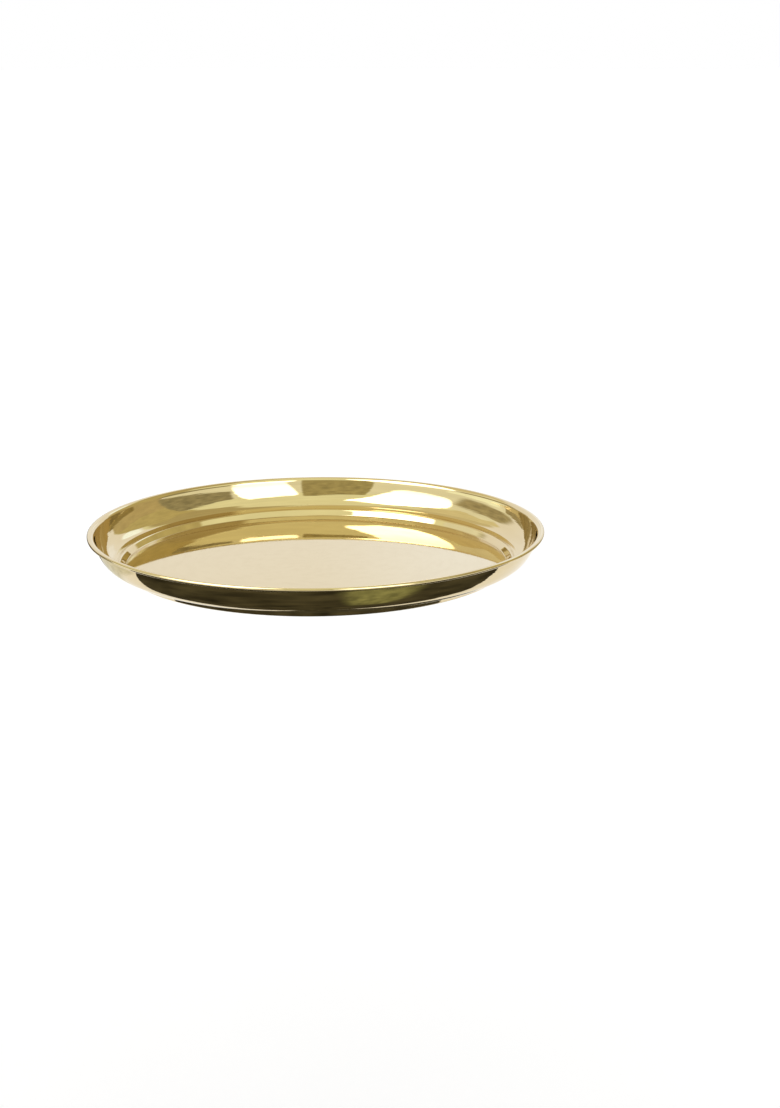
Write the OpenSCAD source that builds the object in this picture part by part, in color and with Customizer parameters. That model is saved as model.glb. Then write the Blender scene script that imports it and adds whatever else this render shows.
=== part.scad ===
// Thali plate: a round dish spun from one brass sheet.
// From the middle outwards the sheet makes a flat floor, a small step up to a
// narrow ledge, a cove, a wall that steepens in one long bend and a short
// flared lip, and then it rolls over a wire that stiffens the edge.
// The section of the sheet is one line of flats and bends, each tangent to the
// next, thickened to both sides and turned once about the Z axis.
// The plate stands on the underside of its floor, at z = 0.

/* [Plate] */
// Diameter across the rolled edge
plate_d = 300; // [160:1:480]
// Height from the resting face to the top of the rolled edge
plate_h = 24.2; // [20:0.1:60]
// Thickness of the sheet
sheet_t = 0.6; // [0.4:0.05:1.2]

/* [Step at the edge of the floor] */
// Rise of the step from the floor to the start of the ledge
step_h = 3.8; // [2.6:0.1:6]
// Slope of the riser of the step, in degrees from the floor
riser_angle = 53; // [40:1:70]
// Mean radius of the bends at the foot and the head of the step
step_bend_r = 1.4; // [0.8:0.1:2.2]
// Width of the ledge, measured along its slope
ledge_w = 3.6; // [1:0.2:10]
// Slope of the ledge, in degrees from the floor
ledge_angle = 13; // [0:1:20]

/* [Wall] */
// Mean radius of the cove between ledge and wall
cove_r = 13.5; // [6:0.5:16]
// Slope of the wall at its foot, where the cove ends, in degrees from the floor
wall_foot_angle = 57; // [40:1:65]
// Slope of the wall at its top, where the flare starts, in degrees from the floor
wall_top_angle = 78.5; // [70:0.5:86]

/* [Lip] */
// Mean radius of the flare between wall and lip
flare_r = 2.8; // [1.2:0.1:4]
// Width of the flat of the lip, between the flare and the rolled edge
lip_flat_w = 0.4; // [0.4:0.1:5]
// Diameter of the wire inside the rolled edge
wire_d = 1.2; // [0.8:0.1:3]
// Clearance between the wire and the sheet rolled over it
wire_gap = 0.05; // [0.02:0.01:0.2]
// How far the sheet wraps round the wire, in degrees from the top
wrap_angle = 290; // [200:5:300]

/* [Hidden] */
$fn = 256;
// Largest turn between two points of a bend, in degrees
bend_step = 5;

// The faces of the sheet lie half its thickness on each side of its mean line
half_t = sheet_t / 2;

// Curl: its mean radius, and the centre that it shares with the wire
curl_r = wire_d / 2 + wire_gap + half_t;
curl_x = plate_d / 2 - curl_r - half_t;
curl_z = plate_h - half_t - curl_r;

// Flare: its top is level with the top of the curl
flare_x = curl_x - lip_flat_w;
flare_z = plate_h - half_t - flare_r;

// Step: the foot bend turns up to the slope of the riser, the head bend back to the ledge
step_bends_rise = step_bend_r * (1 + cos(ledge_angle) - 2 * cos(riser_angle));
riser_len = (step_h - step_bends_rise) / sin(riser_angle);
step_run = step_bend_r * (2 * sin(riser_angle) - sin(ledge_angle)) + riser_len * cos(riser_angle);
foot_bend_z = half_t + step_bend_r;
head_bend_z = half_t + step_h - step_bend_r * cos(ledge_angle);

// Ledge and cove
ledge_run = ledge_w * cos(ledge_angle);
ledge_rise = ledge_w * sin(ledge_angle);
cove_run = cove_r * (sin(wall_foot_angle) - sin(ledge_angle));
cove_z = half_t + step_h + ledge_rise + cove_r * cos(ledge_angle);

// Wall: one bend that takes what is left of the height between cove and flare
wall_foot_z = cove_z - cove_r * cos(wall_foot_angle);
wall_top_z = flare_z + flare_r * cos(wall_top_angle);
wall_r = (wall_top_z - wall_foot_z) / (cos(wall_foot_angle) - cos(wall_top_angle));
wall_x = flare_x - (flare_r + wall_r) * sin(wall_top_angle);
wall_z = wall_top_z + wall_r * cos(wall_top_angle);

// Floor: what is left of the radius
wall_foot_x = wall_x + wall_r * sin(wall_foot_angle);
cove_x = wall_foot_x - cove_r * sin(wall_foot_angle);
floor_r = wall_foot_x - cove_run - ledge_run - step_run;
head_bend_x = floor_r + step_run + step_bend_r * sin(ledge_angle);

// Points along a bend, from one direction to another as seen from its centre
function bend_points(centre, r, from, to) =
    let (steps = ceil(abs(to - from) / bend_step))
    [for (i = [0 : steps])
        let (a = from + (to - from) * i / steps)
        centre + r * [cos(a), sin(a)]];

// All points but the first, for a bend that starts where the last one ends
function without_first(points) = [for (i = [1 : len(points) - 1]) points[i]];

// One face of the sheet, from the axis to the end of the curl.
// side is 1 for the face that food lies on and -1 for the underside.
// Foot bend, cove and wall turn upwards, round centres on the food side;
// head bend, flare and curl turn downwards, round centres on the underside.
function sheet_face(side) =
    let (offset = side * half_t)
    concat(
        [[0, half_t + offset]],
        bend_points([floor_r, foot_bend_z], step_bend_r - offset, -90, riser_angle - 90),
        bend_points([head_bend_x, head_bend_z], step_bend_r + offset, 90 + riser_angle, 90 + ledge_angle),
        bend_points([cove_x, cove_z], cove_r - offset, ledge_angle - 90, wall_foot_angle - 90),
        without_first(bend_points([wall_x, wall_z], wall_r - offset, wall_foot_angle - 90, wall_top_angle - 90)),
        without_first(bend_points([flare_x, flare_z], flare_r + offset, 90 + wall_top_angle, 90)),
        bend_points([curl_x, curl_z], curl_r + offset, 90, 90 - wrap_angle)
    );

function reversed(points) = [for (i = [len(points) - 1 : -1 : 0]) points[i]];

// The spun sheet, from the middle of the floor to the end of the curl
module plate_body() {
    color("goldenrod")
        rotate_extrude()
            polygon(concat(sheet_face(1), reversed(sheet_face(-1))));
}

// The stiffening wire: a closed ring at the centre of the curl
module rim_wire() {
    color("darkgoldenrod")
        rotate_extrude()
            translate([curl_x, curl_z])
                circle(d = wire_d);
}

plate_body();
rim_wire();
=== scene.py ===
# %% [markdown]
# # A spun brass thali plate
# The real plate starts as one flat disc of brass sheet. A spinner turns it on a lathe and presses it over a
# form with a blunt tool, polishes it while it still turns, and rolls its edge over a wire. The lesson follows
# that order: the section of the sheet, the turning, the polish, and then the studio that the polish mirrors.
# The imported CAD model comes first, because every piece made here has to sit exactly where its solid does.

import math

import bpy
import bmesh
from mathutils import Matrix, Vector


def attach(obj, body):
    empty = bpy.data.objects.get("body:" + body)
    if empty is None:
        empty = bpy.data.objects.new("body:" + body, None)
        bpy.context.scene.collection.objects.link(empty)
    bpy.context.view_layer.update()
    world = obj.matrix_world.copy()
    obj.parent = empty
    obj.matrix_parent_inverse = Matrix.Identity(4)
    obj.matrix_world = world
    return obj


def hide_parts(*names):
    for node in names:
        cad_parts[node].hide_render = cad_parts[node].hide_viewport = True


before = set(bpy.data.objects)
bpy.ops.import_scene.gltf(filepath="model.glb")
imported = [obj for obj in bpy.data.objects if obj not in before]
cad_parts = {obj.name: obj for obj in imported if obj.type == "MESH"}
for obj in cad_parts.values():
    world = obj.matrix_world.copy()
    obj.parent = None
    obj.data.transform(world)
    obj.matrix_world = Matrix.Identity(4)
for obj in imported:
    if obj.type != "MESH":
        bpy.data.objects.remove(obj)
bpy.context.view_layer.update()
print("CAD nodes:", sorted(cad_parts))

# %% [markdown]
# Blender works in metres and a metalworker in millimetres, so one factor turns the maker's sizes into
# Blender's. The sizes are those of the CAD source, written again because this file can't read that one.

# %% Sizes of the plate
mm = 0.001
plate_d, plate_h, sheet_t = 300 * mm, 24.2 * mm, 0.6 * mm
step_h, riser_angle, step_bend_r = 3.8 * mm, 53, 1.4 * mm
ledge_w, ledge_angle = 3.6 * mm, 13
cove_r, wall_foot_angle, wall_top_angle = 13.5 * mm, 57, 78.5
flare_r, lip_flat_w = 2.8 * mm, 0.4 * mm
wire_d, wire_gap, wrap_angle = 1.2 * mm, 0.05 * mm, 290
print("plate", plate_d, "m across and", plate_h, "m high")

# %% [markdown]
# ## The camera
# The photograph looks at the plate from a little above its rim, with a long lens. Where the rim's ellipse
# lies in the picture, and how much wider its near half is than its far half, give the tilt, the distance
# and the lens together, so the camera needs no trial and error.

# %% Camera
tilt_down, roll = math.radians(14.94), math.radians(0.096)
lens_mm, sensor_mm = 62.16, 36
to_the_right, back_from_plate, above_rim = 0.0491, 1.2250, 0.3079
camera_data = bpy.data.cameras.new("product_camera")
camera_data.sensor_width = sensor_mm
camera_data.lens = lens_mm
camera = bpy.data.objects.new("product_camera", camera_data)
camera.location = (to_the_right, -back_from_plate, plate_h + above_rim)
camera.rotation_euler = (math.pi / 2 - tilt_down, roll, 0)
bpy.context.scene.collection.objects.link(camera)
bpy.context.scene.camera = camera
bpy.context.scene.view_settings.view_transform = "Standard"
print("camera", round(camera.location.length, 3), "m from the plate")

# %% [markdown]
# ## The section of the sheet
# Cut through from the middle to the edge, the sheet is a chain of flats and bends: floor, step, ledge, cove,
# wall, flare and the curl round the wire. Each bend is an arc that starts where the last flat ends. One
# helper makes the points of an arc. A second one puts extra points close to both ends of a flat, so that
# smooth shading stays level on the flat and turns only in the bend.

# %% Points of a bend and of a flat
def bend(centre, r, start, end, step=5):
    count = max(2, math.ceil(abs(end - start) / step))
    angles = [math.radians(start + (end - start) * i / count) for i in range(count + 1)]
    return [centre + r * Vector((math.cos(a), math.sin(a))) for a in angles]


def flat(start, end, rings, guard=0.15 * mm):
    span = end - start
    share = guard / span.length
    stops = [share] + [i / rings for i in range(1, rings)] + [1 - share]
    return [start + span * s for s in stops]


print("an arc of 90 degrees has", len(bend(Vector((0, 0)), 1, 0, 90)), "points")

# %% [markdown]
# The centres of the bends follow from the sizes. They are the same sums as in the CAD source: the wall is one
# long bend that takes the height that is left, and the floor takes the radius that is left.

# %% Centres of the bends
def sine(degrees):
    return math.sin(math.radians(degrees))


def cosine(degrees):
    return math.cos(math.radians(degrees))


half_t = sheet_t / 2
curl_r = wire_d / 2 + wire_gap + half_t
curl = Vector((plate_d / 2 - curl_r - half_t, plate_h - half_t - curl_r))
flare = Vector((curl.x - lip_flat_w, plate_h - half_t - flare_r))
step_bends_rise = step_bend_r * (1 + cosine(ledge_angle) - 2 * cosine(riser_angle))
riser_len = (step_h - step_bends_rise) / sine(riser_angle)
step_run = step_bend_r * (2 * sine(riser_angle) - sine(ledge_angle)) + riser_len * cosine(riser_angle)
cove_z = half_t + step_h + ledge_w * sine(ledge_angle) + cove_r * cosine(ledge_angle)
wall_foot_z = cove_z - cove_r * cosine(wall_foot_angle)
wall_top_z = flare.y + flare_r * cosine(wall_top_angle)
wall_r = (wall_top_z - wall_foot_z) / (cosine(wall_foot_angle) - cosine(wall_top_angle))
wall = Vector((flare.x - (flare_r + wall_r) * sine(wall_top_angle),
               wall_top_z + wall_r * cosine(wall_top_angle)))
wall_foot_x = wall.x + wall_r * sine(wall_foot_angle)
cove = Vector((wall_foot_x - cove_r * sine(wall_foot_angle), cove_z))
floor_r = (wall_foot_x - cove_r * (sine(wall_foot_angle) - sine(ledge_angle))
           - ledge_w * cosine(ledge_angle) - step_run)
foot = Vector((floor_r, half_t + step_bend_r))
head = Vector((floor_r + step_run + step_bend_r * sine(ledge_angle),
               half_t + step_h - step_bend_r * cosine(ledge_angle)))
print("floor radius", round(floor_r / mm, 1), "mm, bend of the wall", round(wall_r / mm, 1), "mm")

# %% [markdown]
# One face of the sheet is half its thickness above that chain and the other half below. Both are walked from
# the axis outwards, and the under face is then turned round, so that together they make one open line from
# the axis round the curl and back to the axis. Where a bend starts at the end of the last bend, no flat lies
# between them and the shared point is left out.

# %% One face of the sheet
def sheet_face(side):
    off = side * half_t
    foot_arc = bend(foot, step_bend_r - off, -90, riser_angle - 90)
    head_arc = bend(head, step_bend_r + off, 90 + riser_angle, 90 + ledge_angle)
    cove_arc = bend(cove, cove_r - off, ledge_angle - 90, wall_foot_angle - 90, 3)
    wall_arc = bend(wall, wall_r - off, wall_foot_angle - 90, wall_top_angle - 90, 1.6)
    flare_arc = bend(flare, flare_r + off, 90 + wall_top_angle, 90)
    curl_arc = bend(curl, curl_r + off, 90, 90 - wrap_angle, 8)
    middle = Vector((0, half_t + off))
    return ([middle] + flat(middle, foot_arc[0], 10) + foot_arc
            + flat(foot_arc[-1], head_arc[0], 2) + head_arc
            + flat(head_arc[-1], cove_arc[0], 3) + cove_arc
            + wall_arc[1:] + flare_arc[1:]
            + flat(flare_arc[-1], curl_arc[0], 1) + curl_arc)


section = sheet_face(1) + sheet_face(-1)[::-1]
print("points in the section:", len(section))

# %% [markdown]
# A spinner draws the section on paper before cutting the form. Here it becomes a mesh of edges with no faces,
# in the plane of X and Z. A curve object would carry it too, but a mesh keeps each point exactly where the
# sums put it, and the lathe needs no more than points and the order in which they follow.

# %% Section as a line of edges
def line_of_edges(name, points):
    mesh = bpy.data.meshes.new(name)
    mesh.from_pydata([(p.x, 0, p.y) for p in points], [(i, i + 1) for i in range(len(points) - 1)], [])
    line = bpy.data.objects.new(name, mesh)
    bpy.context.scene.collection.objects.link(line)
    return line


spun_plate = line_of_edges("spun_plate", section)
print("edges:", len(spun_plate.data.edges))

# %% [markdown]
# ## Turning the section
# A Spin or a Screw modifier would turn the line as well. Geometry Nodes are used, because the tree keeps the
# rule of the shape in view: a circle stands for the lathe, the section is swept along it, and the points that
# meet on the axis are merged, which closes the pole in the middle of the floor.

# %% Helpers for node trees
def add(tree, kind, place, **values):
    node = tree.nodes.new(kind)
    node.location = place
    for name, value in values.items():
        if hasattr(node, name):
            setattr(node, name, value)
        else:
            node.inputs[name.replace("_", " ")].default_value = value
    return node


def join(tree, start, end):
    tree.links.new(start, end)


def tree_input(tree, name, kind, value=None):
    socket = tree.interface.new_socket(name=name, in_out="INPUT", socket_type=kind)
    if value is not None:
        socket.default_value = value
    return socket.identifier


print("helpers: add, join, tree_input")

# %% [markdown]
# The tree takes the number of steps round the turn, the radius of the lathe circle and the distance under
# which two points count as one. With 360 steps, each is one degree, or 2.6 mm at the rim, so the outline of
# the rim stays round even close by, and what it mirrors doesn't break up into facets.

# %% The lathe tree
def build_lathe():
    tree = bpy.data.node_groups.new("plate_lathe", "GeometryNodeTree")
    tree.interface.new_socket(name="Geometry", in_out="INPUT", socket_type="NodeSocketGeometry")
    ids = {
        "steps": tree_input(tree, "Steps Round", "NodeSocketInt", 360),
        "radius": tree_input(tree, "Lathe Radius", "NodeSocketFloat", 0.15),
        "merge": tree_input(tree, "Merge Distance", "NodeSocketFloat", 1e-6),
        "finish": tree_input(tree, "Finish", "NodeSocketMaterial"),
    }
    tree.interface.new_socket(name="Geometry", in_out="OUTPUT", socket_type="NodeSocketGeometry")
    given = add(tree, "NodeGroupInput", (-900, 0))
    # The section moves from the XZ plane to that of a profile, with the lathe circle at its zero
    position = add(tree, "GeometryNodeInputPosition", (-1100, -250))
    apart = add(tree, "ShaderNodeSeparateXYZ", (-920, -250))
    from_circle = add(tree, "ShaderNodeMath", (-740, -200), operation="SUBTRACT")
    height = add(tree, "ShaderNodeMath", (-740, -380), operation="MULTIPLY")
    height.inputs[1].default_value = -1
    together = add(tree, "ShaderNodeCombineXYZ", (-560, -250))
    laid_flat = add(tree, "GeometryNodeSetPosition", (-380, 0))
    profile = add(tree, "GeometryNodeMeshToCurve", (-200, 0))
    circle = add(tree, "GeometryNodeCurvePrimitiveCircle", (-200, 250))
    sweep = add(tree, "GeometryNodeCurveToMesh", (0, 100))
    merge = add(tree, "GeometryNodeMergeByDistance", (180, 100))
    smooth = add(tree, "GeometryNodeSetShadeSmooth", (360, 100))
    real = add(tree, "GeometryNodeRealizeInstances", (540, 100))
    painted = add(tree, "GeometryNodeSetMaterial", (720, 100))
    result = add(tree, "NodeGroupOutput", (900, 100))
    join(tree, position.outputs[0], apart.inputs[0])
    join(tree, apart.outputs["X"], from_circle.inputs[0])
    join(tree, given.outputs["Lathe Radius"], from_circle.inputs[1])
    join(tree, apart.outputs["Z"], height.inputs[0])
    join(tree, from_circle.outputs[0], together.inputs["X"])
    join(tree, height.outputs[0], together.inputs["Y"])
    join(tree, given.outputs["Geometry"], laid_flat.inputs["Geometry"])
    join(tree, together.outputs[0], laid_flat.inputs["Position"])
    join(tree, laid_flat.outputs[0], profile.inputs["Mesh"])
    join(tree, given.outputs["Steps Round"], circle.inputs["Resolution"])
    join(tree, given.outputs["Lathe Radius"], circle.inputs["Radius"])
    join(tree, circle.outputs["Curve"], sweep.inputs["Curve"])
    join(tree, profile.outputs["Curve"], sweep.inputs["Profile Curve"])
    join(tree, sweep.outputs["Mesh"], merge.inputs["Geometry"])
    join(tree, given.outputs["Merge Distance"], merge.inputs["Distance"])
    join(tree, merge.outputs["Geometry"], smooth.inputs["Geometry"])
    join(tree, smooth.outputs[0], real.inputs["Geometry"])
    join(tree, real.outputs[0], painted.inputs["Geometry"])
    join(tree, given.outputs["Finish"], painted.inputs["Material"])
    join(tree, painted.outputs[0], result.inputs["Geometry"])
    return tree, ids


lathe, lathe_ids = build_lathe()
print("lathe tree:", len(lathe.nodes), "nodes")

# %% [markdown]
# ## Polished brass
# Spun brass is a mirror with a history. The blunt tool leaves long shallow rings, because it moves outwards
# while the disc turns. The polishing wheel leaves hair-fine rings on top of them. Washing and wiping leave
# faint scratches. Polish never reaches the foot of the step, where the metal stays browner, and there the
# colour is darkened further as painted shade of the bend.
# A photograph of metal could be wrapped round the plate instead, but then the rings would not follow the
# turning. Here every pattern is computed from where a point lies on the lathe: its direction round the axis,
# and how far out and up it is. That has no seam, because a direction has no place where it starts.

# %% Place of a point on the lathe
def lathe_place(tree):
    coords = add(tree, "ShaderNodeTexCoord", (-2100, 0))
    apart = add(tree, "ShaderNodeSeparateXYZ", (-1920, 0))
    level = add(tree, "ShaderNodeCombineXYZ", (-1740, 0))
    radius = add(tree, "ShaderNodeVectorMath", (-1560, 120), operation="LENGTH")
    direction = add(tree, "ShaderNodeVectorMath", (-1560, -60), operation="NORMALIZE")
    outwards = add(tree, "ShaderNodeMath", (-1380, 120), operation="ADD")
    split = add(tree, "ShaderNodeSeparateXYZ", (-1380, -60))
    place = add(tree, "ShaderNodeCombineXYZ", (-1200, 0))
    join(tree, coords.outputs["Object"], apart.inputs[0])
    join(tree, apart.outputs["X"], level.inputs["X"])
    join(tree, apart.outputs["Y"], level.inputs["Y"])
    join(tree, level.outputs[0], radius.inputs[0])
    join(tree, level.outputs[0], direction.inputs[0])
    join(tree, radius.outputs["Value"], outwards.inputs[0])
    join(tree, apart.outputs["Z"], outwards.inputs[1])
    join(tree, direction.outputs["Vector"], split.inputs[0])
    join(tree, split.outputs["X"], place.inputs["X"])
    join(tree, split.outputs["Y"], place.inputs["Y"])
    join(tree, outwards.outputs[0], place.inputs["Z"])
    return coords, radius.outputs["Value"], outwards.outputs[0], place.outputs[0], apart.outputs["Z"]


print("a point in the middle of the floor has no direction; a point on the rim is", plate_d / 2, "m out")

# %% [markdown]
# Rings are noise that changes fast outwards and slowly round the axis, so each pattern is the same noise with
# two scales: how many lumps it has round the turn, and how many it has per metre of the way outwards.

# %% Rings, wipe marks and hollows
def rings(tree, place, round_turn, per_metre, detail, spot):
    stretch = add(tree, "ShaderNodeVectorMath", (spot[0] - 180, spot[1]), operation="MULTIPLY")
    stretch.inputs[1].default_value = (round_turn, round_turn, per_metre)
    noise = add(tree, "ShaderNodeTexNoise", spot, Scale=1.0, Detail=detail, Roughness=0.55)
    join(tree, place, stretch.inputs[0])
    join(tree, stretch.outputs["Vector"], noise.inputs["Vector"])
    return noise.outputs["Fac"]


marks_across, marks_along = 900, 26
faintest_mark, clearest_mark = 0.66, 0.74


def wipe_marks(tree, coords, turn, spot):
    turned = add(tree, "ShaderNodeMapping", (spot[0] - 380, spot[1]))
    turned.inputs["Rotation"].default_value = (0, 0, math.radians(turn))
    turned.inputs["Scale"].default_value = (marks_across, marks_along, marks_along)
    noise = add(tree, "ShaderNodeTexNoise", (spot[0] - 190, spot[1]), Scale=1.0, Detail=2.0, Distortion=0.4)
    line = add(tree, "ShaderNodeMapRange", spot)
    line.inputs["From Min"].default_value = faintest_mark
    line.inputs["From Max"].default_value = clearest_mark
    join(tree, coords.outputs["Object"], turned.inputs["Vector"])
    join(tree, turned.outputs[0], noise.inputs["Vector"])
    join(tree, noise.outputs["Fac"], line.inputs["Value"])
    return line.outputs["Result"]


def near(tree, way, where, reach, spot):
    away = add(tree, "ShaderNodeMath", (spot[0] - 360, spot[1]), operation="SUBTRACT")
    away.inputs[1].default_value = where
    gap = add(tree, "ShaderNodeMath", (spot[0] - 180, spot[1]), operation="ABSOLUTE")
    close = add(tree, "ShaderNodeMapRange", spot, interpolation_type="SMOOTHSTEP")
    close.inputs["From Min"].default_value = reach
    close.inputs["From Max"].default_value = 0
    join(tree, way, away.inputs[0])
    join(tree, away.outputs[0], gap.inputs[0])
    join(tree, gap.outputs[0], close.inputs["Value"])
    return close.outputs["Result"]


print("the foot of the step lies", round((floor_r + sheet_t) / mm, 1), "mm out and up")

# %% [markdown]
# The polishing wheel reaches the inside of the dish easily and the groove under the rolled edge hardly at
# all, so polish and dirt collect there; the dark tone there is also painted shade under the curl. Both faces
# of the sheet lie at nearly the same place on the lathe, and a place alone can't tell them apart. A second
# material would leave a hard border between them. The slant of the surface tells them apart with a soft
# change, as the real dirt and shade have.

# %% Outer side of the sheet
def outer_side(tree, coords, place, spot):
    # 1 where the surface faces outwards or down, 0 where it faces into the dish
    slant = add(tree, "ShaderNodeVectorMath", spot, operation="MULTIPLY")
    slant.inputs[1].default_value = (0.8, 0.8, 0)
    down = add(tree, "ShaderNodeVectorMath", (spot[0] + 180, spot[1]), operation="ADD")
    down.inputs[1].default_value = (0, 0, -0.6)
    facing = add(tree, "ShaderNodeVectorMath", (spot[0] + 360, spot[1]), operation="DOT_PRODUCT")
    side = add(tree, "ShaderNodeMapRange", (spot[0] + 540, spot[1]), interpolation_type="SMOOTHSTEP")
    side.inputs["From Min"].default_value = 0.3
    side.inputs["From Max"].default_value = 0.7
    join(tree, place, slant.inputs[0])
    join(tree, slant.outputs["Vector"], down.inputs[0])
    join(tree, down.outputs["Vector"], facing.inputs[0])
    join(tree, coords.outputs["Normal"], facing.inputs[1])
    join(tree, facing.outputs["Value"], side.inputs["Value"])
    return side.outputs["Result"]


print("outer side: the slant of the normal, outwards and down")

# %% [markdown]
# Small steps between the numbers of each pattern keep the graph readable, so sums, products and ranges get a
# helper each.

# %% Sums and ranges
def combine(tree, kind, first, second, spot):
    node = add(tree, "ShaderNodeMath", spot, operation=kind)
    for socket, value in zip(node.inputs, (first, second)):
        if isinstance(value, (int, float)):
            socket.default_value = value
        else:
            join(tree, value, socket)
    return node.outputs[0]


def spread(tree, value, low, high, to_low, to_high, spot):
    node = add(tree, "ShaderNodeMapRange", spot)
    for name, number in (("From Min", low), ("From Max", high), ("To Min", to_low), ("To Max", to_high)):
        node.inputs[name].default_value = number
    join(tree, value, node.inputs["Value"])
    return node.outputs["Result"]


def dent(tree, height, depth, under, spot):
    bump = add(tree, "ShaderNodeBump", spot)
    bump.inputs["Strength"].default_value = 1
    bump.inputs["Distance"].default_value = depth
    join(tree, height, bump.inputs["Height"])
    if under is not None:
        join(tree, under, bump.inputs["Normal"])
    return bump.outputs["Normal"]


print("helpers: combine, spread, dent")

# %% [markdown]
# The colours are those of yellow brass as a camera sees it straight on: more red than green, and about half
# as much blue. At a flat angle the shader adds the white sheen by itself, which is why the floor of the
# plate looks cream-coloured in the photograph while its wall looks golden. Three tones are enough: clean
# metal, metal that has browned in hollows and is darkened at the foot of the step as painted shade, and a
# dark tone in the groove under the rolled edge that is partly dirt and partly painted shade.

# %% Polished brass
clean_brass = (0.735, 0.605, 0.362, 1)
# Browner tone for hollows and dull patches, also painted shade at the foot of the step
browned_and_shaded_brass = (0.50, 0.36, 0.16, 1)
# Dark tone for the groove under the rolled edge: partly dirt, partly painted shade
grime_and_shade_brass = (0.16, 0.11, 0.045, 1)
wave_depth, tool_depth, hair_depth, scratch_depth = 0.05 * mm, 0.006 * mm, 0.0004 * mm, 0.0006 * mm
groove_height, groove_reach = plate_h - 2 * curl_r - 1.0 * mm, 1.2 * mm
rim_way = plate_d / 2 + plate_h
skirt_start, skirt_end = rim_way - 7.4 * mm, rim_way - 6.7 * mm
foot_way, foot_reach = floor_r + sheet_t, 2.2 * mm
cove_way, cove_reach = floor_r + 9.5 * mm, 1.6 * mm
calm_edge = floor_r + 12 * mm


def build_polished_brass():
    material = bpy.data.materials.new("polished_brass")
    material.use_nodes = True
    tree = material.node_tree
    shader = tree.nodes["Principled BSDF"]
    shader.inputs["Metallic"].default_value = 1
    coords, radius, outwards, place, height = lathe_place(tree)
    # The wall and the lip were worked most, so the long waves are deeper there than on the floor
    worked = spread(tree, radius, floor_r, calm_edge, 0.12, 1.0, (-700, 900))
    slow_rings = rings(tree, place, 2.2, 330, 2.0, (-900, 700))
    waves = combine(tree, "MULTIPLY", slow_rings, worked, (-500, 800))
    fine_rings = rings(tree, place, 1.4, 1500, 1.0, (-900, 480))
    tool_rings = combine(tree, "MULTIPLY", fine_rings, worked, (-500, 560))
    hair_rings = rings(tree, place, 3.0, 9000, 2.0, (-900, 260))
    wiped = combine(tree, "MAXIMUM", wipe_marks(tree, coords, 28, (-900, -820)),
                    wipe_marks(tree, coords, 117, (-900, -1120)), (-500, -950))
    # Browner at the foot of the step and at the cove; at the foot it is also painted shade of the bend
    hollow = combine(tree, "MAXIMUM", near(tree, outwards, foot_way, foot_reach, (-900, -80)),
                     near(tree, outwards, cove_way, cove_reach, (-900, -320)), (-500, -200))
    patchy = spread(tree, rings(tree, place, 5.0, 160, 4.0, (-900, -560)), 0.42, 0.68, 0, 1, (-500, -480))
    patchy_hollow = spread(tree, patchy, 0, 1, 0.25, 0.75, (-320, -420))
    brown = combine(tree, "MULTIPLY", hollow, patchy_hollow, (-140, -300))
    dull = combine(tree, "MULTIPLY", patchy, 0.10, (-320, -620))
    aged_and_shaded = combine(tree, "MAXIMUM", brown, dull, (40, -360))
    # The groove under the rolled edge, outside the dish only: partly dirt, partly painted shade under the
    # curl
    groove = near(tree, height, groove_height, groove_reach, (-900, -1400))
    far_out = spread(tree, outwards, skirt_start, skirt_end, 0, 1, (-900, -1600))
    outer = outer_side(tree, coords, place, (-700, -1800))
    outside = combine(tree, "MULTIPLY", far_out, outer, (-500, -1600))
    grime_and_shade = combine(tree, "MULTIPLY", groove, outside, (-300, -1450))
    colour = add(tree, "ShaderNodeMix", (220, -200), data_type="RGBA")
    colour.inputs["A"].default_value = clean_brass
    colour.inputs["B"].default_value = browned_and_shaded_brass
    join(tree, aged_and_shaded, colour.inputs["Factor"])
    black = add(tree, "ShaderNodeMix", (400, -260), data_type="RGBA")
    black.inputs["B"].default_value = grime_and_shade_brass
    join(tree, grime_and_shade, black.inputs["Factor"])
    join(tree, colour.outputs["Result"], black.inputs["A"])
    join(tree, black.outputs["Result"], shader.inputs["Base Color"])
    aged_and_shaded = combine(tree, "MAXIMUM", aged_and_shaded, combine(tree, "MULTIPLY", grime_and_shade, 2.0, (40, -1300)), (220, -1200))
    rough = combine(tree, "ADD", spread(tree, hair_rings, 0.3, 0.7, 0.016, 0.032, (-320, 200)),
                    combine(tree, "MULTIPLY", aged_and_shaded, 0.16, (220, -420)), (400, 60))
    rough = combine(tree, "ADD", rough, combine(tree, "MULTIPLY", wiped, 0.05, (-320, -900)), (580, 60))
    join(tree, rough, shader.inputs["Roughness"])
    surface = dent(tree, waves, wave_depth, None, (-140, 700))
    surface = dent(tree, tool_rings, tool_depth, surface, (40, 560))
    surface = dent(tree, hair_rings, hair_depth, surface, (220, 420))
    surface = dent(tree, wiped, -scratch_depth, surface, (400, 300))
    join(tree, surface, shader.inputs["Normal"])
    return material


polished_brass = build_polished_brass()
print("polished brass:", len(polished_brass.node_tree.nodes), "nodes")

# %% [markdown]
# The wire is drawn through a die and never polished. Its marks run along it, so here the noise changes fast
# outwards and hardly at all round the turn, and the colour is the duller one of metal that has lain in stock.
# It is shut inside the rolled edge, but it shows where somebody looks at the plate from below and close by.

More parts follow.
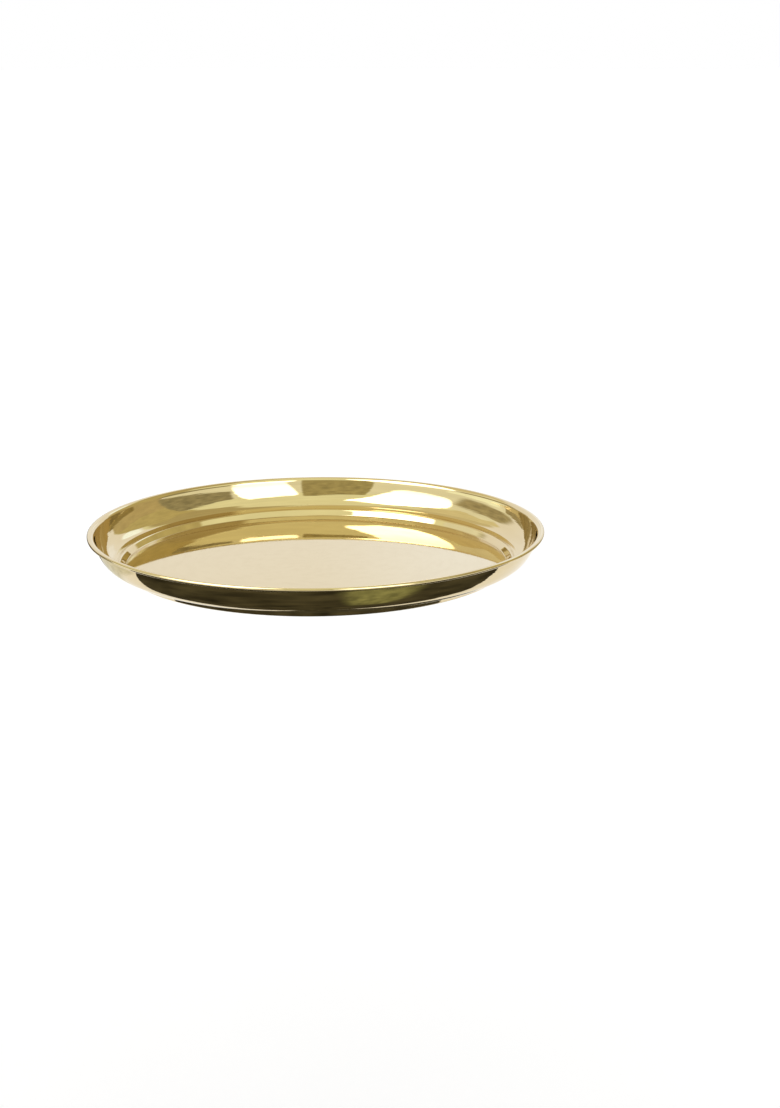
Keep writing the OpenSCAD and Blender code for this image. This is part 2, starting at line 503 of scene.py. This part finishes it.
# %% Drawn brass of the wire
def build_wire_brass():
    material = bpy.data.materials.new("wire_brass")
    material.use_nodes = True
    tree = material.node_tree
    shader = tree.nodes["Principled BSDF"]
    shader.inputs["Metallic"].default_value = 1
    place = lathe_place(tree)[3]
    die_marks = rings(tree, place, 0.8, 6000, 1.0, (-900, 300))
    stains = rings(tree, place, 9.0, 300, 3.0, (-900, 0))
    colour = add(tree, "ShaderNodeMix", (-300, 0), data_type="RGBA")
    colour.inputs["A"].default_value = (0.66, 0.51, 0.28, 1)
    colour.inputs["B"].default_value = (0.44, 0.30, 0.13, 1)
    join(tree, spread(tree, stains, 0.4, 0.7, 0, 0.8, (-600, 0)), colour.inputs["Factor"])
    join(tree, colour.outputs["Result"], shader.inputs["Base Color"])
    join(tree, spread(tree, die_marks, 0.3, 0.7, 0.22, 0.42, (-600, 300)), shader.inputs["Roughness"])
    join(tree, dent(tree, die_marks, 0.004 * mm, None, (-300, 500)), shader.inputs["Normal"])
    return material


wire_brass = build_wire_brass()
print("wire brass:", len(wire_brass.node_tree.nodes), "nodes")

# %% [markdown]
# Now the disc is turned. The modifier runs the tree on the section, and its result is kept as a plain mesh,
# because the export reads meshes and a live tree could change when a setting does.

# %% Turn the plate
def turn_on_lathe(piece, finish):
    modifier = piece.modifiers.new("lathe", "NODES")
    modifier.node_group = lathe
    modifier[lathe_ids["steps"]] = 360
    modifier[lathe_ids["radius"]] = plate_d / 2
    modifier[lathe_ids["merge"]] = 0.001 * mm
    modifier[lathe_ids["finish"]] = finish
    bpy.context.view_layer.update()
    turned = bpy.data.meshes.new_from_object(piece.evaluated_get(bpy.context.evaluated_depsgraph_get()))
    piece.modifiers.remove(modifier)
    piece.data = turned
    return piece


turn_on_lathe(spun_plate, polished_brass)
spun_plate.data.calc_loop_triangles()
print("triangles:", len(spun_plate.data.loop_triangles))

# %% [markdown]
# A sweep can leave a skin inside out, and a renderer or a printer then takes metal for air. The sheet is one
# closed skin, so its volume tells: with the faces outwards it is positive, and it is the volume of the brass
# that the disc had before spinning. Slivers on the axis are dissolved, which leaves one clean pole.

# %% Faces outwards
def faces_outwards(piece):
    shell = bmesh.new()
    shell.from_mesh(piece.data)
    bmesh.ops.dissolve_degenerate(shell, dist=1e-7, edges=shell.edges)
    bmesh.ops.recalc_face_normals(shell, faces=shell.faces)
    if shell.calc_volume(signed=True) < 0:
        bmesh.ops.reverse_faces(shell, faces=shell.faces)
    open_edges = sum(1 for edge in shell.edges if not edge.is_manifold)
    volume = shell.calc_volume(signed=True)
    shell.to_mesh(piece.data)
    shell.free()
    return open_edges, volume


open_edges, volume = faces_outwards(spun_plate)
print("open edges:", open_edges, "volume:", round(volume * 1e6, 2), "cm3")

# %% [markdown]
# The real plate has two pieces. The spun sheet takes the place of its solid. The wire is a plain ring, which
# the solid already is, so it stays as it is and only gets its own metal.

# %% Give the pieces to the model
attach(spun_plate, "root")
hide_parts("plate_body")
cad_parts["rim_wire"].data.materials.clear()
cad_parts["rim_wire"].data.materials.append(wire_brass)
print("spun_plate stands for plate_body, rim_wire stays")

# %% [markdown]
# ## Studio
# A mirror has no look of its own: what the plate shows is the room. The photograph's room is a white backdrop
# behind the plate, a pale ceiling, a window or softbox on each side in front, and darker walls between them.
# The world gives the white, and Light Path keeps that white for what the camera and the metal see, so that
# the floor is lit by a softer level and still shows the shadow of the plate.

# %% World
def seen_directly(tree, spot):
    path = add(tree, "ShaderNodeLightPath", spot)
    first = add(tree, "ShaderNodeMath", (spot[0] + 200, spot[1]), operation="MAXIMUM")
    both = add(tree, "ShaderNodeMath", (spot[0] + 400, spot[1]), operation="MAXIMUM")
    join(tree, path.outputs["Is Camera Ray"], first.inputs[0])
    join(tree, path.outputs["Is Glossy Ray"], first.inputs[1])
    join(tree, first.outputs[0], both.inputs[0])
    join(tree, path.outputs["Is Transmission Ray"], both.inputs[1])
    return both.outputs[0]


world = bpy.data.worlds.new("studio")
world.use_nodes = True
bpy.context.scene.world = world
sky = world.node_tree
soft_strength = 0.85
soft_level = sky.nodes["Background"]
soft_level.inputs["Color"].default_value = (1, 1, 1, 1)
soft_level.inputs["Strength"].default_value = soft_strength
white_level = add(sky, "ShaderNodeBackground", (0, -200))
white_level.inputs["Color"].default_value = (1, 1, 1, 1)
white_level.inputs["Strength"].default_value = 1
choice = add(sky, "ShaderNodeMixShader", (300, 0))
join(sky, seen_directly(sky, (-700, 200)), choice.inputs[0])
join(sky, soft_level.outputs[0], choice.inputs[1])
join(sky, white_level.outputs[0], choice.inputs[2])
join(sky, choice.outputs[0], sky.nodes["World Output"].inputs["Surface"])
print("world: white where it is seen, softer where it lights")

# %% [markdown]
# Walls, ceiling and windows are cards on spheres round the plate. A card is given by its four corners, each
# as a direction: degrees round from the camera's side, to the left where positive, and degrees up from the
# horizon. Its edges fade, because a softbox has no sharp rim, and a slow noise makes its light uneven, as
# cloth and paint do.

# %% Card as a patch of a sphere
card_columns, card_rows = 24, 16


def card_mesh(name, corners, distance, columns=card_columns, rows=card_rows):
    low_start, low_end, high_end, high_start = corners
    points, faces = [], []
    for row in range(rows + 1):
        for column in range(columns + 1):
            u, v = column / columns, row / rows
            azimuth, rise = (math.radians((low_start[i] * (1 - u) + low_end[i] * u) * (1 - v)
                                          + (high_start[i] * (1 - u) + high_end[i] * u) * v) for i in (0, 1))
            points.append((-math.sin(azimuth) * math.cos(rise) * distance,
                           -math.cos(azimuth) * math.cos(rise) * distance, math.sin(rise) * distance))
    for row in range(rows):
        for column in range(columns):
            first = row * (columns + 1) + column
            faces.append((first, first + 1, first + columns + 2, first + columns + 1))
    mesh = bpy.data.meshes.new(name)
    mesh.from_pydata(points, [], faces)
    uv = mesh.uv_layers.new(name="card")
    for loop in mesh.loops:
        column, row = loop.vertex_index % (columns + 1), loop.vertex_index // (columns + 1)
        uv.data[loop.index].uv = (column / columns, row / rows)
    return mesh


print("a card has", card_columns * card_rows, "faces")

# %% [markdown]
# Each card glows by itself, because a lamp would throw a shadow and a highlight of its own. Its corners are
# rounded by measuring how far a point lies outside a smaller rectangle, and the light falls off over that
# distance. The low part may be dimmer, as a window is where furniture stands in front of it.

# %% Light of a card
def card_light(name, colour, strength, soft, corner, uneven, low_share):
    material = bpy.data.materials.new(name)
    material.use_nodes = True
    tree = material.node_tree
    tree.nodes.clear()
    output = add(tree, "ShaderNodeOutputMaterial", (900, 0))
    glow = add(tree, "ShaderNodeEmission", (500, -100))
    glow.inputs["Color"].default_value = (*colour, 1)
    clear = add(tree, "ShaderNodeBsdfTransparent", (500, 100))
    mix = add(tree, "ShaderNodeMixShader", (700, 0))
    coords = add(tree, "ShaderNodeUVMap", (-900, 0))
    split = add(tree, "ShaderNodeSeparateXYZ", (-740, 0))
    join(tree, coords.outputs[0], split.inputs[0])
    join(tree, mix.outputs[0], output.inputs[0])
    join(tree, clear.outputs[0], mix.inputs[1])
    join(tree, glow.outputs[0], mix.inputs[2])
    # How far a point lies outside the rounded corners, across and up
    outside = []
    for number, axis in enumerate("XY"):
        centred = combine(tree, "SUBTRACT", split.outputs[axis], 0.5, (-560, -200 * number))
        size = combine(tree, "ABSOLUTE", centred, 0.0, (-400, -200 * number))
        over = combine(tree, "SUBTRACT", size, 0.5 - corner, (-240, -200 * number))
        outside.append(combine(tree, "MAXIMUM", over, 0.0, (-80, -200 * number)))
    both = add(tree, "ShaderNodeCombineXYZ", (80, -300))
    length = add(tree, "ShaderNodeVectorMath", (240, -300), operation="LENGTH")
    join(tree, outside[0], both.inputs["X"])
    join(tree, outside[1], both.inputs["Y"])
    join(tree, both.outputs[0], length.inputs[0])
    edge = add(tree, "ShaderNodeMapRange", (400, -300), interpolation_type="SMOOTHSTEP")
    edge.inputs["From Min"].default_value = corner
    edge.inputs["From Max"].default_value = corner - soft
    join(tree, length.outputs["Value"], edge.inputs["Value"])
    join(tree, edge.outputs["Result"], mix.inputs[0])
    noise = add(tree, "ShaderNodeTexNoise", (-560, 400), Scale=7.0, Detail=4.0)
    join(tree, coords.outputs[0], noise.inputs["Vector"])
    darkest, brightest = strength * (1 - uneven), strength * (1 + uneven)
    patches = spread(tree, noise.outputs["Fac"], 0.3, 0.7, darkest, brightest, (-300, 400))
    rise = spread(tree, split.outputs["Y"], 0, 0.6, low_share, 1, (-300, 200))
    join(tree, combine(tree, "MULTIPLY", patches, rise, (-100, 300)), glow.inputs["Strength"])
    return material


print("a card's light fades at its edges")

# %% [markdown]
# Hanging a card joins its mesh and its light and tells the renderer who sees it. Only what mirrors does, and
# neither the camera nor a matt surface, so the pale floor keeps its even tone and the soft shadow that the
# world gives it.

# %% Hang a card
def hang_card(name, corners, colour, strength=1.0, distance=6,
              soft=0.06, corner=0.12, uneven=0.06, low_share=1.0):
    mesh = card_mesh(name, corners, distance)
    mesh.materials.append(card_light(name, colour, strength, soft, corner, uneven, low_share))
    card = bpy.data.objects.new(name, mesh)
    bpy.context.scene.collection.objects.link(card)
    card.visible_camera = False
    card.visible_diffuse = False
    card.visible_shadow = False
    return card


print("a card hangs 6 m from the plate, unless it says otherwise")

# %% [markdown]
# The far cards come first and the near ones last: ceiling and walls, the dark places, and then the windows.
# The ceiling is a warm white and darker towards the back of the room, where the light of the windows falls
# off. Behind the plate stands the white backdrop, brightest in its middle.

# %% Ceiling and walls
warm_white = (0.97, 0.99, 0.71)
olive = (0.60, 0.53, 0.26)
ochre = (0.54, 0.47, 0.25)
straw = (0.74, 0.67, 0.42)
cool_white = (1.06, 1.10, 1.19)
cream = (0.84, 0.78, 0.50)
day_white = (0.98, 1.0, 0.84)
hang_card("ceiling", ((-180, 36), (180, 36), (180, 90), (-180, 90)), warm_white,
          distance=7.0, soft=0.02, corner=0.02)
hang_card("ceiling_seam", ((168, 36), (192, 36), (192, 89), (168, 89)), warm_white,
          distance=7.1, soft=0.02, corner=0.02)
hang_card("ceiling_top", ((-180, 84), (180, 84), (180, 90), (-180, 90)), warm_white,
          distance=7.2, soft=0.02, corner=0.02)
hang_card("ceiling_back_right", ((-181, 36), (-96, 40), (-96, 72), (-181, 68)), ochre,
          distance=6.9, soft=0.12, corner=0.15)
hang_card("ceiling_back_left", ((146, 33), (183, 33), (183, 68), (144, 66)), straw,
          distance=6.9, soft=0.1, corner=0.15)
hang_card("bright_backdrop", ((-183, 11), (-160, 11), (-160, 20), (-183, 20)), cool_white,
          distance=6.9, soft=0.28, corner=0.3, uneven=0.0)
hang_card("wall_right", ((-148, 8), (-94, 8), (-94, 52), (-148, 48)), olive,
          distance=6.8, corner=0.1, uneven=0.1)
hang_card("wall_left", ((98, 24), (150, 30), (150, 60), (104, 64)), cream,
          distance=6.8, soft=0.1, corner=0.15)
hang_card("room", ((-94, -10), (132, -10), (132, 40), (-94, 40)), day_white,
          distance=6.7, soft=0.02, corner=0.05)
print("ceiling, walls and room hung")

# %% [markdown]
# Polished metal looks like metal because of what is dark in the room. Between the windows the photograph's
# wall shows brown and olive patches, the corners and furniture of the room. They are hung in front of the
# walls, each with its own tone.

# %% Dark places
umber = (0.45, 0.40, 0.24)
tan = (0.58, 0.49, 0.26)
brown = (0.33, 0.26, 0.10)
khaki = (0.42, 0.36, 0.20)
smoke_brown = (0.37, 0.34, 0.21)
moss = (0.45, 0.40, 0.20)
hang_card("middle_right", ((-146, -16), (-93, -16), (-93, 24), (-146, 18)), tan,
          distance=6.65, corner=0.08, uneven=0.1)
hang_card("low_right", ((-154, -16), (-114, -16), (-116, 7), (-150, 8)), brown,
          distance=6.6, soft=0.08, uneven=0.15)
hang_card("low_left", ((112, -16), (153, -16), (147, 7), (122, 9)), khaki,
          distance=6.6, uneven=0.15)
hang_card("dark_right", ((-99, 4), (-50, 20), (-55, 41), (-99, 42)), smoke_brown,
          distance=6.5, corner=0.1, uneven=0.26)
hang_card("dark_left", ((82, 11), (139, 7), (133, 26), (83, 33)), umber,
          distance=6.5, soft=0.16, corner=0.2, uneven=0.26)
hang_card("dark_middle", ((-11, 8), (31, 8), (31, 44), (-12, 50)), moss,
          distance=6.4, soft=0.04, corner=0.06, uneven=0.24)
print("dark places hung")

# %% [markdown]
# The windows are the brightest cards, bright enough to stay white after one bounce on brass. Two stand in
# front to the left and right, with a pale sill under the left one, and a small cool lamp hangs far behind.

# %% Windows and lamp
lamp_white = (1.25, 1.45, 1.65)
sun_white = (1, 1, 0.97)
plain_white = (1, 1, 1)
sill_white = (1.2, 1.3, 1.1)
hang_card("high_lamp", ((-168, 24), (-145, 24), (-143, 37), (-168, 37)), lamp_white,
          distance=6.3, soft=0.2, corner=0.4)
hang_card("window_left", ((45, 19), (83, 21), (113, 76), (23, 76)), sun_white,
          strength=5.0, distance=6.2, corner=0.2, uneven=0.04, low_share=0.45)
hang_card("window_right", ((-51, 9), (-18, 9), (-12, 47), (-52, 47)), plain_white,
          strength=3.6, distance=6.2, corner=0.15, uneven=0.04, low_share=0.6)
hang_card("sill_left", ((72, 3), (118, 0), (118, 8), (72, 11)), sill_white,
          distance=6.1, soft=0.12, corner=0.2)
print("windows hung")

# %% [markdown]
# ## Floor
# The photographed plate is well clear of any floor. With the floor directly under it, the near side of the
# wall would mirror a pale floor and lose its dark tone, so the pale floor lies lower and takes a soft
# shadow.

# %% Floor
floor_z, floor_reach, floor_glow = -0.45, 60, 0.26
floor_corners = [(x * floor_reach, y * floor_reach, floor_z) for x, y in ((-1, -1), (1, -1), (1, 1), (-1, 1))]
floor_mesh = bpy.data.meshes.new("studio_floor")
floor_mesh.from_pydata(floor_corners, [], [(0, 1, 2, 3)])
studio_floor = bpy.data.objects.new("studio_floor", floor_mesh)
bpy.context.scene.collection.objects.link(studio_floor)
floor_paint = bpy.data.materials.new("floor_paint")
floor_paint.use_nodes = True
paint = floor_paint.node_tree.nodes["Principled BSDF"]
paint.inputs["Base Color"].default_value = (0.9, 0.9, 0.9, 1)
paint.inputs["Roughness"].default_value = 0.9
paint.inputs["Specular IOR Level"].default_value = 0.2
paint.inputs["Emission Color"].default_value = (1, 1, 1, 1)
floor_tree = floor_paint.node_tree
glow = combine(floor_tree, "MULTIPLY", seen_directly(floor_tree, (-900, -300)), floor_glow, (-300, -300))
join(floor_tree, glow, paint.inputs["Emission Strength"])
floor_mesh.materials.append(floor_paint)
print("floor", abs(floor_z), "m below the plate")

# %% [markdown]
# What hangs close under the plate decides the tone of its near wall: a dark cloth in front, with one fold
# that catches an olive light. Where the wall turns away, paler cloths hang to the left and right of it. The
# rolled edge on the left mirrors a narrow brown strip between them and the horizon.

# %% Cloths under the plate
cloth_brown = (0.062, 0.056, 0.034)
fold_olive = (0.27, 0.28, 0.125)
shade_brown = (0.14, 0.11, 0.065)
linen = (0.80, 0.80, 0.70)
sand = (0.52, 0.48, 0.36)
hang_card("dark_cloth", ((-120, -89.9), (162, -89.9), (83, -11), (-97, -11)), cloth_brown,
          distance=0.43, soft=0.005, corner=0.02, uneven=0.6)
hang_card("cloth_middle", ((-180, -89.99), (180, -89.99), (180, -84), (-180, -84)), cloth_brown,
          distance=0.436, soft=0.01, corner=0.02, uneven=0.6)
hang_card("dark_cloth_behind", ((150, -89.9), (244, -89.9), (212, -32), (160, -32)), cloth_brown,
          distance=0.43, soft=0.02, corner=0.05, uneven=0.6)
hang_card("cloth_fold", ((-60, -66), (-18, -66), (-4, -15), (-58, -15)), fold_olive,
          distance=0.42, soft=0.3, corner=0.34, uneven=0.35)
hang_card("below_left", ((98, -11), (162, -19), (160, 5), (94, 3)), shade_brown,
          distance=0.43, uneven=0.2)
hang_card("pale_left", ((92, -27), (150, -30), (150, -9), (90, -9)), linen,
          distance=0.44, soft=0.2, corner=0.3, uneven=0.15)
hang_card("below_right", ((-157, -12), (-98, -9), (-96, 3), (-156, 3)), sand,
          distance=0.43, soft=0.1, corner=0.2, uneven=0.2)
print("cloths hung")
